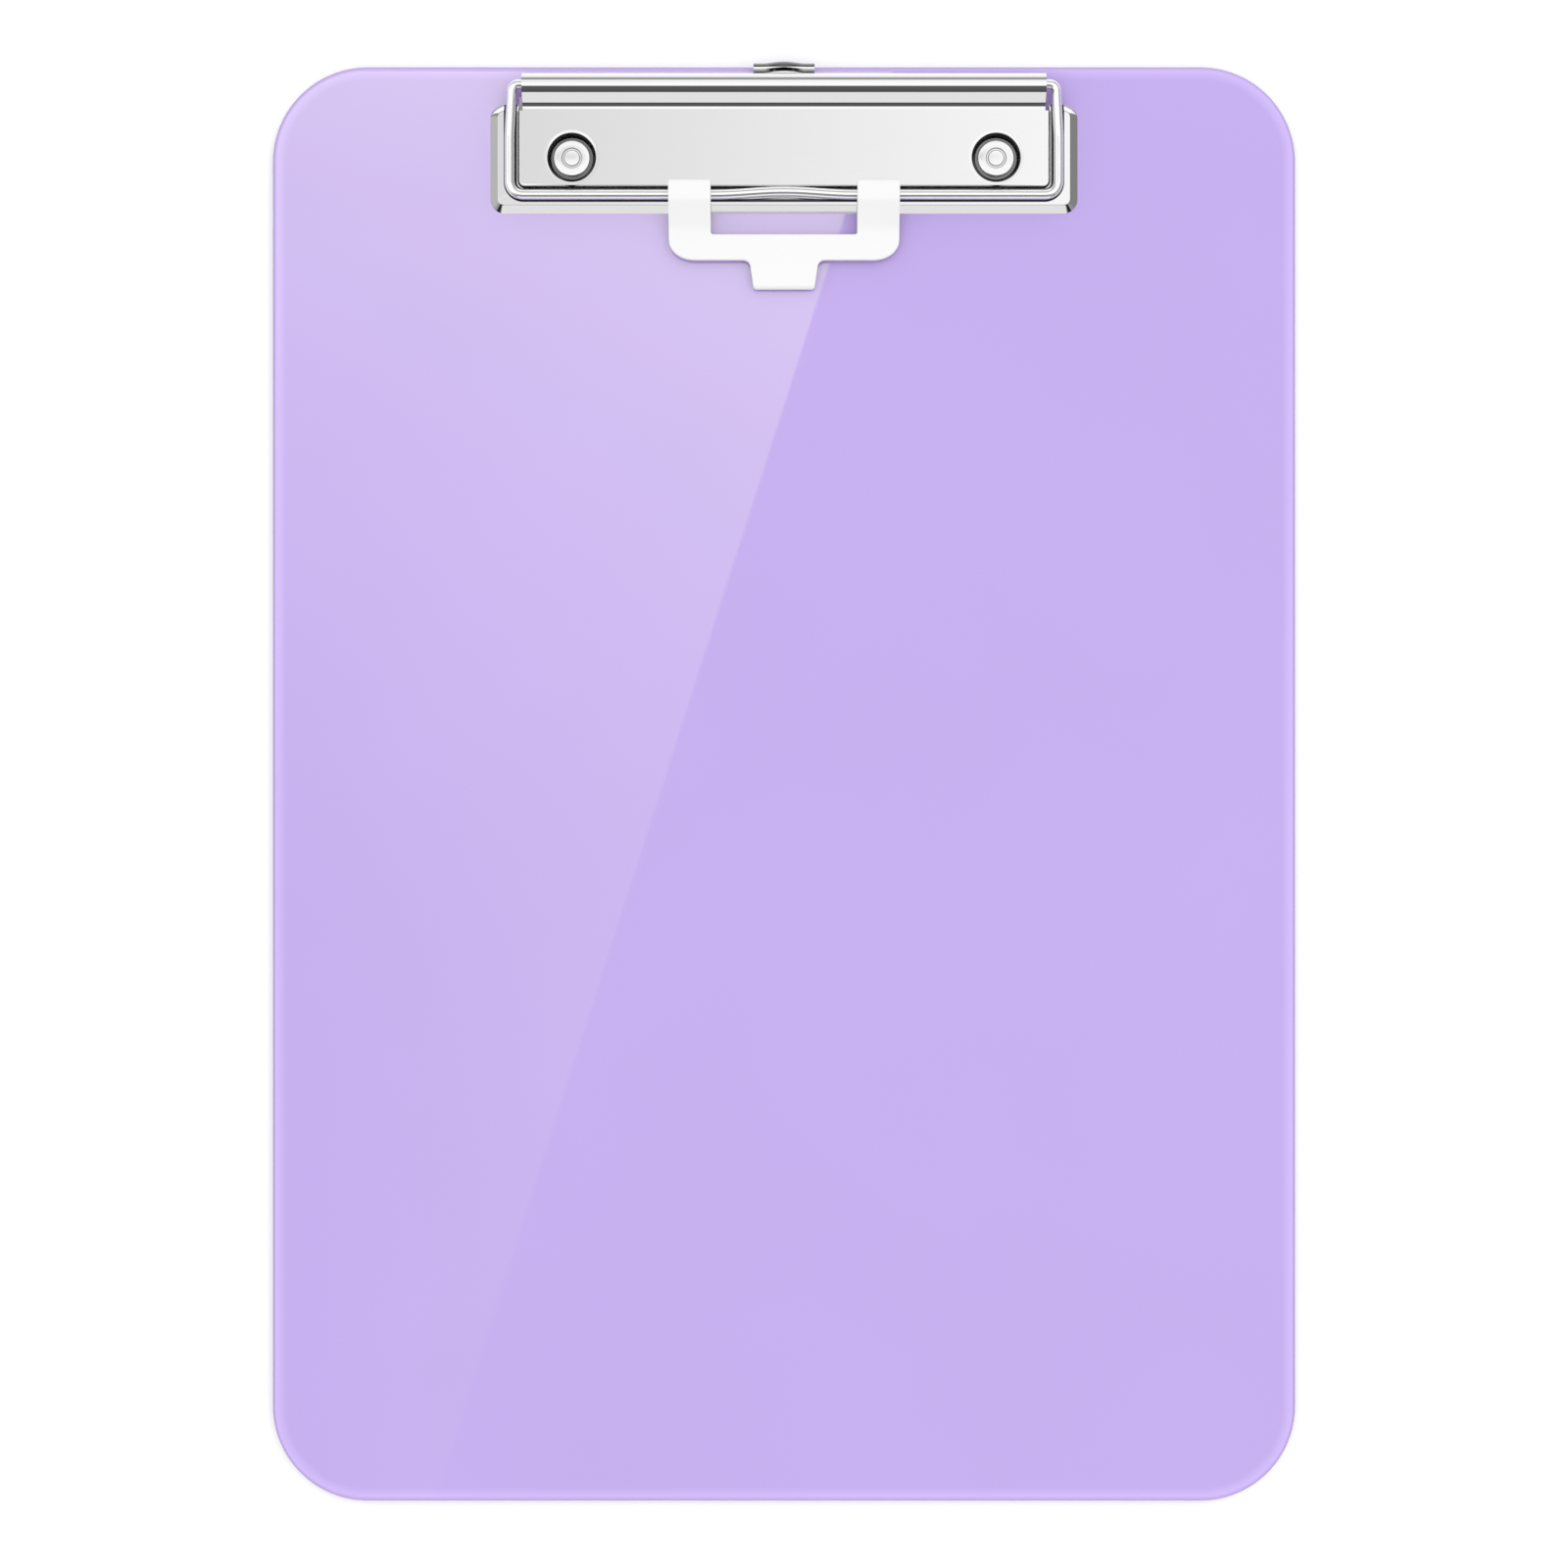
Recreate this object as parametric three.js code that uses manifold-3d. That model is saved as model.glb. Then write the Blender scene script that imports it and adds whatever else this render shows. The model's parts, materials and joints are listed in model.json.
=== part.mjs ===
// Letter-size clipboard with a low-profile wire-bail clip, a snap-on pull tab and a slide-out hanging tab.
//
// Units are millimetres. The board lies on its back: the origin is the middle of its underside,
// +X points to its right, +Y to the clip end and +Z up out of the writing face.

import * as THREE from 'three';
import { mergeVertices } from 'three/addons/utils/BufferGeometryUtils.js';
import Module from 'manifold-3d';

const wasm = await Module();
wasm.setup();

// ---------------------------------------------------------------- driving dimensions

const GAP = 0.3;                 // kept between neighbouring pieces
const BIG = 400;                 // larger than the whole object, for cutting blocks

const BOARD = { width: 228.6, length: 320.5, thick: 3, corner: 21.2, edge: 0.9 };

const SHEET = 0.8;               // steel of the base plate
const RIM_INSET = 0.35;          // keeps the sloping rim as thick as the flat sheet
const PLATE = { halfWidth: 65.5, front: 127.3, rear: 151.6, corner: 3.2, rim: 1.6, top: 4.5 };
const PANEL = { halfWidth: 59.2, front: 132.6, rear: 151, corner: 1.6, slope: 0.35, rise: 1 };
const BARREL = { y: 155.35, z: 6.2, radius: 2.4, halfWidth: 58.1, wrapEnd: -60 };
const RAMP = { slope: 48, bend: 1.43 };   // the straight run of sheet from the panel up to the barrel
const NOTCH = { width: 1.1, length: 1.4 };
const LAP = 0.2;                 // how far parts of one piece reach into each other before they are joined

const WIRE = { radius: 1.1, sides: 10, inner: 8, hingeSide: 60.4, side: 61, front: 131 };
const WIRE_BEND = { hinge: 1.6, arm: 8, front: 3 };
const WIRE_SPLAY_END = 144;      // the arms spread apart from the hinge to here, then run parallel
const BOW = { halfWidth: 15.5, depth: 0.7, steps: 8 };

const RIVET = { x: 47.2, y: 139.3, head: 4.1, headTop: 5, shank: 1.6, bore: 0.9, flare: 2.8 };
const RIVET_BEVEL = { run: 0.5, drop: 0.3 };
const DIMPLE = { top: 5.4, floor: 4.6, foot: 5 };
const WASHER = { radius: 4.4, thick: 0.3 };
const COUNTERBORE = { radius: 5, depth: 1.5 };
const CLEARANCE_HOLE = RIVET.shank + GAP;
const FLARE_LOW = 0.2;           // how far the flared rivet end stays inside the board's underside

const TAB = { arm: 16.24, half: 25.67, rear: 134, window: 122.3, bar: 116.6, tip: 110.1 };
const TAB_STEM = { root: 7.3, tip: 6.6, fillet: 1.8, corner: 0.8 };
const TAB_CORNER = { x: 5.7, y: 4.4 };
const TAB_TOP = { hook: 8.5, arms: 5.5, bar: 5.2, stem: 5 };
const TAB_LOW = { jaw: 4.8, bar: 3.5 };
const HOOK = { round: 0.6, front: 1.6, foot: 0.9, rise: 1.5, lip: 10 };
const NOSE = { brow: 1.4, drop: 0.7, chin: 0.6, rise: 0.4 };

const TONGUE = { half: 6.8, front: 134.6, thick: 0.5, hole: 3.6, holeY: 152.6 };
const SHOULDER = { half: 8.6, rear: 137.6 };
const TRAVEL = 12;               // how far the hanging tab pulls out
const GUIDE = { width: 1.2, length: 0.8, low: 3.5 };
const CURL = { radius: 1.2, y: 159.2, end: 100, midHalf: 4.4, midShift: 0.45, lap: 0.5 };

// ---------------------------------------------------------------- dimensions that follow

const boardTop = BOARD.thick;
const plateLow = boardTop + GAP;
const panelTop = PLATE.top + PANEL.rise;
const panelLow = panelTop - SHEET;
const rearCut = PLATE.rear - PLATE.rim - RIM_INSET - LAP;   // the rear rim gives way to the barrel here
const wireZ = PLATE.top + GAP + WIRE.radius;
const wireBore = WIRE.radius + GAP;
const tongueLow = boardTop + GAP;
const tongueTop = tongueLow + TONGUE.thick;

const rad = THREE.MathUtils.degToRad;

// Where the panel ends and bends up into the ramp.
function bendStart() {
  const slope = rad(RAMP.slope);
  const rampTop = BARREL.z + BARREL.radius * Math.cos(slope);
  const rampLow = panelTop + RAMP.bend * (1 - Math.cos(slope));
  const run = (rampTop - rampLow) / Math.tan(slope);
  return BARREL.y - (BARREL.radius + RAMP.bend) * Math.sin(slope) - run;
}

// ---------------------------------------------------------------- materials

function finish(color, roughness, metalness) {
  return new THREE.MeshStandardMaterial({ color, roughness, metalness });
}

const lavender = finish(0xc8b2f0, 0.2, 0);
const white = finish(0xfafafa, 0.35, 0);
const nickel = finish(0xd9d9d6, 0.18, 1);
const chrome = finish(0xe6e6e6, 0.08, 1);

// ---------------------------------------------------------------- solids from geometries

function solidOf(geometry) {
  const bare = geometry.clone();
  bare.deleteAttribute('normal');
  bare.deleteAttribute('uv');
  const merged = mergeVertices(bare, 1e-4);
  const vertProperties = new Float32Array(merged.attributes.position.array);
  const triVerts = new Uint32Array(merged.index.array);
  return new wasm.Manifold(new wasm.Mesh({ numProp: 3, vertProperties, triVerts }));
}

function geometryOf(solid) {
  const { vertProperties, triVerts } = solid.getMesh();
  const geometry = new THREE.BufferGeometry();
  geometry.setAttribute('position', new THREE.BufferAttribute(vertProperties, 3));
  geometry.setIndex(new THREE.BufferAttribute(triVerts, 1));
  geometry.computeVertexNormals();
  return geometry;
}

function piece(name, solid, material) {
  const mesh = new THREE.Mesh(geometryOf(solid), material);
  mesh.name = name;
  return mesh;
}

// A block between two corners.
function block(x0, y0, z0, x1, y1, z1) {
  const geometry = new THREE.BoxGeometry(x1 - x0, y1 - y0, z1 - z0);
  geometry.translate((x0 + x1) / 2, (y0 + y1) / 2, (z0 + z1) / 2);
  return solidOf(geometry);
}

// A plan outline made solid between two heights.
function slab(outline, low, high, curveSegments = 6) {
  const geometry = new THREE.ExtrudeGeometry(outline, { depth: high - low, bevelEnabled: false, curveSegments });
  geometry.translate(0, 0, low);
  return solidOf(geometry);
}

// A side profile, drawn in Y and Z, made solid between two values of X.
function acrossX(profile, x0, x1, curveSegments = 6) {
  const geometry = new THREE.ExtrudeGeometry(profile, { depth: x1 - x0, bevelEnabled: false, curveSegments });
  const turn = new THREE.Matrix4().makeBasis(
    new THREE.Vector3(0, 1, 0),
    new THREE.Vector3(0, 0, 1),
    new THREE.Vector3(1, 0, 0),
  );
  geometry.applyMatrix4(turn);
  geometry.translate(x0, 0, 0);
  return solidOf(geometry);
}

// A profile of [radius, height] points turned about a vertical axis at (x, y).
function turned(points, x, y, segments = 28) {
  const geometry = new THREE.LatheGeometry(points.map(([r, z]) => new THREE.Vector2(r, z)), segments);
  geometry.rotateX(Math.PI / 2);
  geometry.translate(x, y, 0);
  return solidOf(geometry);
}

function disc(radius, low, high, x, y, segments = 28) {
  return turned([[0, low], [radius, low], [radius, high], [0, high]], x, y, segments);
}

function roundedRect(x0, y0, x1, y1, r) {
  const shape = new THREE.Shape();
  shape.moveTo(x0 + r, y0);
  shape.lineTo(x1 - r, y0);
  shape.absarc(x1 - r, y0 + r, r, -Math.PI / 2, 0);
  shape.lineTo(x1, y1 - r);
  shape.absarc(x1 - r, y1 - r, r, 0, Math.PI / 2);
  shape.lineTo(x0 + r, y1);
  shape.absarc(x0 + r, y1 - r, r, Math.PI / 2, Math.PI);
  shape.lineTo(x0, y0 + r);
  shape.absarc(x0 + r, y0 + r, r, Math.PI, 1.5 * Math.PI);
  return shape;
}

// A raised tray: a rounded rectangle whose sides slope inwards by `run` over `rise` up to `top`.
function tray(box, corner, top, run, rise, inset = 0) {
  const outline = roundedRect(box[0] + inset, box[1] + inset, box[2] - inset, box[3] - inset, corner);
  const geometry = new THREE.ExtrudeGeometry(outline, {
    depth: rise,
    curveSegments: 5,
    bevelSegments: 1,
    bevelThickness: rise,
    bevelSize: run,
    bevelOffset: -run,
  });
  geometry.translate(0, 0, top - 2 * rise);
  const upper = block(-BIG, -BIG, top - rise, BIG, BIG, top + 1);
  return solidOf(geometry).intersect(upper);
}

// ---------------------------------------------------------------- the board

function board() {
  const { width, length, thick, corner, edge } = BOARD;
  const outline = roundedRect(-width / 2, -length / 2, width / 2, length / 2, corner);
  const geometry = new THREE.ExtrudeGeometry(outline, {
    depth: thick - 2 * edge,
    curveSegments: 12,
    bevelSegments: 2,
    bevelThickness: edge,
    bevelSize: edge,
    bevelOffset: -edge,
  });
  geometry.translate(0, 0, edge);
  let solid = solidOf(geometry);
  for (const side of [-1, 1]) {
    const x = side * RIVET.x;
    solid = solid.subtract(disc(CLEARANCE_HOLE, -1, thick + 1, x, RIVET.y));
    solid = solid.subtract(disc(COUNTERBORE.radius, -1, COUNTERBORE.depth, x, RIVET.y));
  }
  return piece('board', solid, lavender);
}

// ---------------------------------------------------------------- the base plate

// Rim, ledge and raised panel: the shape of the sheet's upper face, filled in below.
function plateForm(drop, inset) {
  const rimRise = PLATE.top - plateLow;
  const rim = [-PLATE.halfWidth, PLATE.front, PLATE.halfWidth, PLATE.rear];
  const panel = [-PANEL.halfWidth, PANEL.front, PANEL.halfWidth, PANEL.rear];
  const ledge = tray(rim, PLATE.corner, PLATE.top - drop, PLATE.rim, rimRise, inset);
  const raised = tray(panel, PANEL.corner, panelTop - drop, PANEL.slope, PANEL.rise, inset);
  return ledge.add(raised);
}

// The sheet's edge: bent up from the panel, then rolled into the barrel that the wire turns in.
function barrelProfile() {
  const { y, z, radius: outer } = BARREL;
  const inner = outer - SHEET;
  const wrapEnd = rad(BARREL.wrapEnd);
  const wrapStart = rad(90 + RAMP.slope);
  const bendEnd = rad(RAMP.slope - 90);
  const bend = { y: bendStart(), z: panelTop + RAMP.bend };
  const start = rearCut - LAP;
  const profile = new THREE.Shape();
  profile.moveTo(start, panelTop);
  profile.absarc(bend.y, bend.z, RAMP.bend, -Math.PI / 2, bendEnd, false);
  profile.absarc(y, z, outer, wrapStart, wrapEnd, true);
  profile.lineTo(y + inner * Math.cos(wrapEnd), z + inner * Math.sin(wrapEnd));
  profile.absarc(y, z, inner, wrapEnd, wrapStart, false);
  profile.absarc(bend.y, bend.z, RAMP.bend + SHEET, bendEnd, -Math.PI / 2, true);
  profile.lineTo(start, panelLow);
  return profile;
}

// The sheet pressed down to the board around each rivet, so that the rivet's head sits below the panel.
function pressDimple(solid, x) {
  const floorTop = plateLow + SHEET;
  const outerTop = DIMPLE.top + SHEET;
  const middle = SHEET / 8;
  const cup = [[0, plateLow], [DIMPLE.foot, plateLow], [outerTop, panelLow + middle],
    [outerTop, panelTop - middle], [0, panelTop - middle]];
  const hollow = [[0, floorTop], [DIMPLE.floor, floorTop], [DIMPLE.top, panelTop],
    [DIMPLE.top, panelTop + 1], [0, panelTop + 1]];
  return solid
    .add(turned(cup, x, RIVET.y))
    .subtract(turned(hollow, x, RIVET.y))
    .subtract(disc(CLEARANCE_HOLE, 0, BIG, x, RIVET.y));
}

// Small lugs pressed down from the sheet: the hanging tab slides between them and its shoulders stop there.
function guideLug(side) {
  const near = TONGUE.half + GAP;
  const far = near + GUIDE.width;
  const front = SHOULDER.rear + TRAVEL + GAP;
  const x0 = side > 0 ? near : -far;
  const x1 = side > 0 ? far : -near;
  return block(x0, front, GUIDE.low, x1, front + GUIDE.length, panelLow + SHEET / 4);
}

function basePlate() {
  let solid = plateForm(0, 0).subtract(plateForm(SHEET, RIM_INSET));
  solid = solid.subtract(block(-BARREL.halfWidth, rearCut, 0, BARREL.halfWidth, BIG, BIG));
  for (const side of [-1, 1]) {
    const x = side * (BARREL.halfWidth + NOTCH.width / 2);
    const notch = [x - NOTCH.width / 2, PLATE.rear - NOTCH.length, 0, x + NOTCH.width / 2, BIG, BIG];
    solid = solid.subtract(block(...notch));
  }
  solid = solid.add(acrossX(barrelProfile(), -BARREL.halfWidth, BARREL.halfWidth, 18));
  for (const side of [-1, 1]) {
    solid = pressDimple(solid, side * RIVET.x);
    solid = solid.add(guideLug(side));
  }
  return piece('base_plate', solid, nickel);
}

// ---------------------------------------------------------------- the wire bail

// A path that takes one section at each of its points, however far apart they are.
class PointPath extends THREE.Curve {
  constructor(points) {
    super();
    this.points = points;
  }

  getPoint(t, target = new THREE.Vector3()) {
    const place = THREE.MathUtils.clamp(t, 0, 1) * (this.points.length - 1);
    const i = Math.min(Math.floor(place), this.points.length - 2);
    return target.lerpVectors(this.points[i], this.points[i + 1], place - i);
  }

  getUtoTmapping(u) {
    return u;
  }
}

// The points of a bend of the given radius at `corner`, between the directions to its neighbours.
function bend(before, corner, after, radius, steps) {
  const into = corner.clone().sub(before).normalize();
  const out = after.clone().sub(corner).normalize();
  const angle = into.angleTo(out);
  const reach = radius * Math.tan(angle / 2);
  const start = corner.clone().addScaledVector(into, -reach);
  const inward = out.clone().sub(into.clone().multiplyScalar(into.dot(out))).normalize();
  const points = [];
  for (let i = 0; i <= steps; i += 1) {
    const a = (angle * i) / steps;
    const point = start.clone();
    point.addScaledVector(into, radius * Math.sin(a));
    point.addScaledVector(inward, radius * (1 - Math.cos(a)));
    points.push(point);
  }
  return points;
}

// One half of the wire, from inside the barrel to the point where the front bar starts to bow.
function wireHalf() {
  const at = (x, y, z) => new THREE.Vector3(x, y, z);
  const corners = [
    at(WIRE.inner, BARREL.y, BARREL.z),
    at(WIRE.hingeSide, BARREL.y, BARREL.z),
    at(WIRE.side, WIRE_SPLAY_END, wireZ),
    at(WIRE.side, WIRE.front, wireZ),
    at(BOW.halfWidth, WIRE.front, wireZ),
  ];
  const radii = [WIRE_BEND.hinge, WIRE_BEND.arm, WIRE_BEND.front];
  const steps = [6, 2, 6];
  const points = [corners[0]];
  radii.forEach((radius, i) => {
    points.push(...bend(corners[i], corners[i + 1], corners[i + 2], radius, steps[i]));
  });
  points.push(corners.at(-1));
  return points;
}

// The shallow bow of the front bar towards the hinge, between the arms of the pull tab.
function bowPoints() {
  const points = [];
  for (let i = 1; i < BOW.steps; i += 1) {
    const t = i / BOW.steps;
    const y = WIRE.front + (BOW.depth * (1 - Math.cos(2 * Math.PI * t))) / 2;
    points.push(new THREE.Vector3(BOW.halfWidth * (1 - 2 * t), y, wireZ));
  }
  return points;
}

function wireBail() {
  const right = wireHalf();
  const left = right.map((p) => new THREE.Vector3(-p.x, p.y, p.z)).reverse();
  const points = [...right, ...bowPoints(), ...left];
  const section = new THREE.Shape();
  for (let i = 0; i < WIRE.sides; i += 1) {
    const a = (2 * Math.PI * (i + 0.5)) / WIRE.sides;
    const draw = i === 0 ? 'moveTo' : 'lineTo';
    section[draw](WIRE.radius * Math.cos(a), WIRE.radius * Math.sin(a));
  }
  const geometry = new THREE.ExtrudeGeometry(section, {
    steps: points.length - 1,
    extrudePath: new PointPath(points),
  });
  return piece('wire_bail', solidOf(geometry), chrome);
}

// ---------------------------------------------------------------- the pull tab

// Two arms, a cross bar with large outer corners, and a tapering stem for the fingers.
function tabPlan() {
  const { arm, half, rear, window, bar, tip } = TAB;
  const { root, tip: tipHalf, fillet, corner } = TAB_STEM;
  const plan = new THREE.Shape();
  plan.moveTo(0, tip);
  plan.lineTo(tipHalf - corner, tip);
  plan.absarc(tipHalf - corner, tip + corner, corner, -Math.PI / 2, 0);
  plan.lineTo(root, bar - fillet);
  plan.absarc(root + fillet, bar - fillet, fillet, Math.PI, Math.PI / 2, true);
  plan.lineTo(half - TAB_CORNER.x, bar);
  plan.absellipse(half - TAB_CORNER.x, bar + TAB_CORNER.y, TAB_CORNER.x, TAB_CORNER.y, -Math.PI / 2, 0);
  plan.lineTo(half, rear);
  plan.lineTo(arm, rear);
  plan.lineTo(arm, window);
  plan.lineTo(0, window);
  const right = plan.getPoints(6);
  const left = right.slice(1, -1).map((p) => new THREE.Vector2(-p.x, p.y)).reverse();
  return new THREE.Shape([...right, ...left]);
}

// The tab seen from its side: a hook that snaps over the wire, and a blade that slopes down to the board.
function tabSide() {
  const { rear, window, bar, tip } = TAB;
  const y = WIRE.front;
  const round = HOOK.round;
  const jaw = Math.atan2(TAB_LOW.jaw - wireZ, -Math.sqrt(wireBore ** 2 - (wireZ - TAB_LOW.jaw) ** 2));
  const side = new THREE.Shape();
  side.moveTo(rear, wireZ + HOOK.rise);
  side.lineTo(rear, TAB_TOP.hook - round);
  side.absarc(rear - round, TAB_TOP.hook - round, round, 0, Math.PI / 2);
  side.lineTo(y - HOOK.front, TAB_TOP.hook);
  side.lineTo(window + HOOK.foot, TAB_TOP.arms);
  side.lineTo(bar, TAB_TOP.bar);
  side.lineTo(tip + NOSE.brow, TAB_TOP.stem);
  side.lineTo(tip, TAB_TOP.stem - NOSE.drop);
  side.lineTo(tip, TAB_LOW.bar + NOSE.rise);
  side.lineTo(tip + NOSE.chin, TAB_LOW.bar);
  side.lineTo(window + GAP, TAB_LOW.bar);
  side.lineTo(PLATE.front - GAP, TAB_LOW.jaw);
  side.lineTo(y + wireBore * Math.cos(jaw), TAB_LOW.jaw);
  side.absarc(y, wireZ, wireBore, jaw + 2 * Math.PI, rad(HOOK.lip), true);
  return side;
}

function pullTab() {
  const plan = slab(tabPlan(), 0, TAB_TOP.hook + 1);
  const side = acrossX(tabSide(), -TAB.half - 1, TAB.half + 1, 10);
  return piece('pull_tab', plan.intersect(side), white);
}

// ---------------------------------------------------------------- the hanging tab

function tonguePlan() {
  const { half, front, hole, holeY } = TONGUE;
  const plan = new THREE.Shape();
  const corner = 1.2;
  plan.moveTo(SHOULDER.half - corner, front);
  plan.absarc(SHOULDER.half - corner, front + corner, corner, -Math.PI / 2, 0);
  plan.lineTo(SHOULDER.half, SHOULDER.rear);
  plan.lineTo(half, SHOULDER.rear);
  plan.lineTo(half, CURL.y);
  plan.lineTo(-half, CURL.y);
  plan.lineTo(-half, SHOULDER.rear);
  plan.lineTo(-SHOULDER.half, SHOULDER.rear);
  plan.absarc(-SHOULDER.half + corner, front + corner, corner, Math.PI, 1.5 * Math.PI);
  plan.holes.push(new THREE.Path().absarc(0, holeY, hole, 0, 2 * Math.PI));
  return plan;
}

// The end of the tongue rolled up and back, to catch with a fingernail.
function curlProfile(shift) {
  const y = CURL.y + shift;
  const z = tongueLow + CURL.radius;
  const inner = CURL.radius - TONGUE.thick;
  const end = rad(CURL.end);
  const profile = new THREE.Shape();
  profile.moveTo(CURL.y - CURL.lap, tongueLow);
  profile.lineTo(y, tongueLow);
  profile.absarc(y, z, CURL.radius, -Math.PI / 2, end, false);
  profile.lineTo(y + inner * Math.cos(end), z + inner * Math.sin(end));
  profile.absarc(y, z, inner, end, -Math.PI / 2, true);
  profile.lineTo(CURL.y - CURL.lap, tongueTop);
  return profile;
}

function hangingTab() {
  const solid = slab(tonguePlan(), tongueLow, tongueTop, 8)
    .add(acrossX(curlProfile(0), -TONGUE.half, TONGUE.half, 8))
    .add(acrossX(curlProfile(CURL.midShift), -CURL.midHalf, CURL.midHalf, 8));
  return piece('hanging_tab', solid, nickel);
}

// ---------------------------------------------------------------- rivets and washers

function rivet(name, x) {
  const { head, headTop, shank, bore, flare } = RIVET;
  const headLow = plateLow + SHEET + GAP;
  const flareTop = COUNTERBORE.depth - 2 * GAP - WASHER.thick;
  const points = [
    [0, plateLow + GAP],
    [bore, plateLow + GAP],
    [bore, FLARE_LOW],
    [flare, FLARE_LOW],
    [flare, flareTop],
    [shank, flareTop],
    [shank, headLow],
    [head, headLow],
    [head, headTop - RIVET_BEVEL.drop],
    [head - RIVET_BEVEL.run, headTop],
    [0, headTop],
  ];
  return piece(name, turned(points, x, RIVET.y), nickel);
}

function washer(name, x) {
  const top = COUNTERBORE.depth - GAP;
  const low = top - WASHER.thick;
  const ring = disc(WASHER.radius, low, top, x, RIVET.y);
  return piece(name, ring.subtract(disc(CLEARANCE_HOLE, low - 1, top + 1, x, RIVET.y)), nickel);
}

// ---------------------------------------------------------------- the assembly

const clipboard = new THREE.Group();
clipboard.add(board(), basePlate(), wireBail(), pullTab(), hangingTab());
for (const [side, x] of [['left', -RIVET.x], ['right', RIVET.x]]) {
  clipboard.add(rivet(`rivet_${side}`, x));
  clipboard.add(washer(`rivet_washer_${side}`, x));
}

export default clipboard;
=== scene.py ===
import json
import math

import bmesh
import bpy
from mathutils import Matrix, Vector
from mathutils.geometry import tessellate_polygon


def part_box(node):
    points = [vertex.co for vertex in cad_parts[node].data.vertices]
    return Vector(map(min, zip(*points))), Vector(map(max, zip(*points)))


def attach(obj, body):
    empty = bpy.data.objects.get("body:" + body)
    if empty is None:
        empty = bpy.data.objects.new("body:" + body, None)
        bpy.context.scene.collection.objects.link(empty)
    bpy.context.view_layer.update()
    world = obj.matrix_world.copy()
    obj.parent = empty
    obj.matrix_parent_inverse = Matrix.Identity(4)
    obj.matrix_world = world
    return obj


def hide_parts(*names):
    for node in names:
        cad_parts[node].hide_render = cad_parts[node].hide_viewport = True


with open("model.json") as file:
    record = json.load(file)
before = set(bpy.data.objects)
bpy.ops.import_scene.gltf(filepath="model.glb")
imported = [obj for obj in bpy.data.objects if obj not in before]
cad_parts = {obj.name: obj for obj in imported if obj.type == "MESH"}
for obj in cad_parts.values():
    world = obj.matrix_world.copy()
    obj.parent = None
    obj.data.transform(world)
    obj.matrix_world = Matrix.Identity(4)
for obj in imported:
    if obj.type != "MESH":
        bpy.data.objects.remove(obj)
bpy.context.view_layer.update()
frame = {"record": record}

MM = 0.001


def mm_box(node):
    """A CAD node's lowest and highest corner, in millimetres."""
    low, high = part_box(node)
    return Vector(low) / MM, Vector(high) / MM


# ------------------------------------------------------------------ dimensions, in millimetres

JOINTS = {joint["name"]: joint for joint in frame["record"]["behaviour"]["joints"]}

BOARD_HIGH = mm_box("board")[1]
PLATE_LOW, PLATE_HIGH = mm_box("base_plate")
TAB_LOW, TAB_HIGH = mm_box("pull_tab")
TONGUE_LOW, TONGUE_HIGH = mm_box("hanging_tab")
RIVET_LOW, RIVET_HIGH = mm_box("rivet_right")
WASHER_LOW, WASHER_HIGH = mm_box("rivet_washer_right")

BOARD_TOP = BOARD_HIGH.z
BOARD_CORNER = 21.2
BOARD_EDGE = 1.2                 # radius of the board's rounded edge

SHEET = 0.8                      # steel of the base plate
TOUCH = 0.03                     # between pieces that rest on each other
BARREL_R = 2.4
HINGE = Vector(JOINTS["bail_hinge"]["pos_m"]) / MM
PANEL_TOP = HINGE.z - 0.7
LEDGE_TOP = PANEL_TOP - 1.0
BARREL_BROW = 3.3                # radius of the barrel's flatter front side
RAMP_SLOPE = 45.0                # of the sheet's straight run from the panel up to the barrel, in degrees
RAMP_BEND = 2.05
BARREL_HALF = 58.1
BARREL_END = -60.0               # where the rolled edge stops, in degrees
PLATE_HALF = PLATE_HIGH.x
PLATE_FRONT = PLATE_LOW.y
PLATE_REAR = PLATE_FRONT + 24.3  # of the wings beside the barrel
PLATE_CORNER = 3.2
RIM_SLOPE = (40.0, 38.0)         # of the side rims at their foot and at their top, in degrees
RIM_FRONT_SHARE = 0.92           # the front rim's run as a share of the side rims'
PANEL_HALF = 59.2
PANEL_FRONT = PLATE_FRONT + 5.3
PANEL_CORNER = 1.6
PANEL_SLOPE = 0.35
NOTCH_END = 59.2                 # the notches lie between here and the ends of the barrel

RIVET = Vector(((RIVET_LOW.x + RIVET_HIGH.x) / 2, (RIVET_LOW.y + RIVET_HIGH.y) / 2, 0.0))
RIVET_HEAD = (RIVET_HIGH.x - RIVET_LOW.x) / 2
RIVET_HOLE = 1.9
RIVET_SHANK = 1.6
RIVET_BORE = 0.9
RIVET_FLARE = 2.8
RIVET_RING = (1.75, 2.2)         # radii of the ring groove's two walls
RING_WALL = 0.05                 # half of each wall's run
RING_DEPTH = 0.22
DIMPLE_TOP = 5.4
DIMPLE_FLOOR = 4.7
COUNTERBORE_R = 5.0
COUNTERBORE_DEPTH = 1.5
COUNTERBORE_RIM = 0.2            # bevel round its mouth

WIRE_R = 1.1
WIRE_END = 8.0                   # from the middle to each end of the wire, inside the barrel
WIRE_SIDE = 61.0
WIRE_HINGE_SIDE = 60.4
WIRE_SPLAY_END = 144.0           # the arms spread apart from the hinge to here
WIRE_FRONT = 131.0
WIRE_BENDS = (1.6, 8.0)          # radii where it leaves the barrel and where the arms turn parallel
WIRE_CORNER = 3.0
DOME_STEPS = 6                   # rings in each of the wire's domed ends
WIRE_Z = LEDGE_TOP + WIRE_R + TOUCH
BOW_HALF = 15.5
BOW_DEPTH = 0.7

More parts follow.
